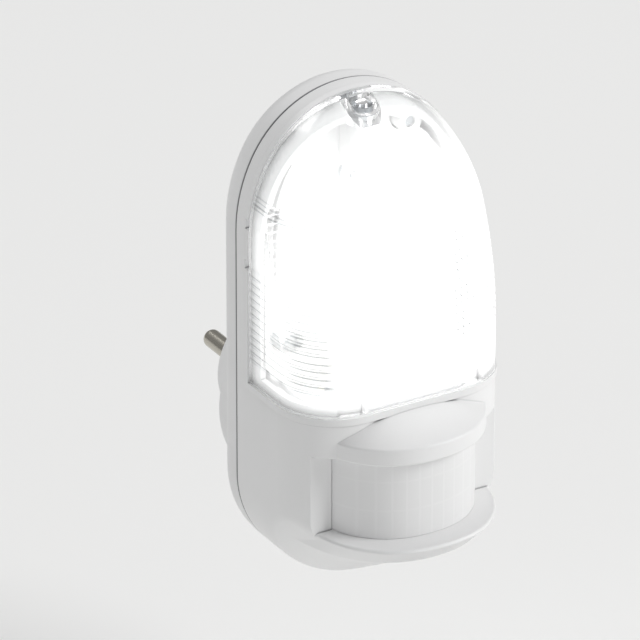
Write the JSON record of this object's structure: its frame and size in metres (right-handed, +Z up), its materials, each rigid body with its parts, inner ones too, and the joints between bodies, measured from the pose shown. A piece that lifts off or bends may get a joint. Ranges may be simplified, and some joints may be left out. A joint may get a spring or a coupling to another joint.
{
  "type": "plug in night light with motion sensor",
  "caption": "Plug-in night light: tall clear ribbed lens over a small screw-cap lamp, visored motion sensor window below, round earthed plug behind, slide switch at the side.",
  "frame": {"origin": "centre of the plug's end face, between the two pins", "axes": "+Y along the pins into the wall, +Z up, +X to the right of a viewer in front of the light"},
  "size_m": [0.0618, 0.1001, 0.1305],
  "materials": {
    "white_abs": "satin",
    "white_abs_knob": "satin",
    "clear_lens": "gloss",
    "milky_window": "satin",
    "grey_frame": "satin",
    "reflector_white": "gloss",
    "nickel_brass": "polished",
    "spring_brass": "satin",
    "zinc_steel": "satin",
    "holder_ceramic": "glazed",
    "lamp_glass": "gloss",
    "cap_aluminium": "satin",
    "black_insulator": "gloss",
    "solder": "satin",
    "tungsten": "satin",
    "lead_sleeve": "matte",
    "board_laminate": "satin",
    "black_case": "satin",
    "yellow_case": "gloss",
    "capacitor_sleeve": "gloss",
    "resistor_lacquer": "satin",
    "fuse_ceramic": "matte",
    "header_pins": "satin",
    "sensor_can": "satin",
    "sensor_filter": "polished",
    "sensor_epoxy": "gloss"
  },
  "bodies": {
    "root": {"back_housing": "white_abs", "plug_body": "white_abs", "plug_pins": "nickel_brass", "plug_screws": "zinc_steel", "contact_straps": "spring_brass", "front_housing": "white_abs", "housing_screws": "zinc_steel", "lens_cover": "clear_lens", "lens_screw": "zinc_steel", "reflector": "reflector_white", "reflector_screws": "zinc_steel", "lampholder": "holder_ceramic", "lampholder_sleeve": "spring_brass", "lampholder_contact": "spring_brass", "lampholder_screws": "zinc_steel", "lamp_glass": "lamp_glass", "lamp_cap": "cap_aluminium", "lamp_insulator": "black_insulator", "lamp_tip": "solder", "lamp_stem": "lamp_glass", "lamp_filament": "tungsten", "lamp_leads": "lead_sleeve", "control_board": "board_laminate", "board_screws": "zinc_steel", "relay": "black_case", "film_capacitor": "yellow_case", "electrolytic_capacitor": "capacitor_sleeve", "control_ic": "black_case", "diodes": "black_case", "resistors": "resistor_lacquer", "fuse": "fuse_ceramic", "board_link": "header_pins", "mode_switch_body": "black_case", "pir_window": "milky_window", "window_frame": "grey_frame", "pir_board": "board_laminate", "pir_board_screws": "zinc_steel", "pir_sensor": "sensor_can", "pir_filter": "sensor_filter", "pir_leads": "header_pins", "light_sensor": "sensor_epoxy"},
    "mode_switch_knob": {"mode_switch_knob": "white_abs_knob"}
  },
  "joints": [
    {"name": "mode_switch_slide", "type": "slide", "parent": "root", "child": "mode_switch_knob", "axis": [0, 0, 1], "range_m": [-0.003, 0.003]}
  ]
}
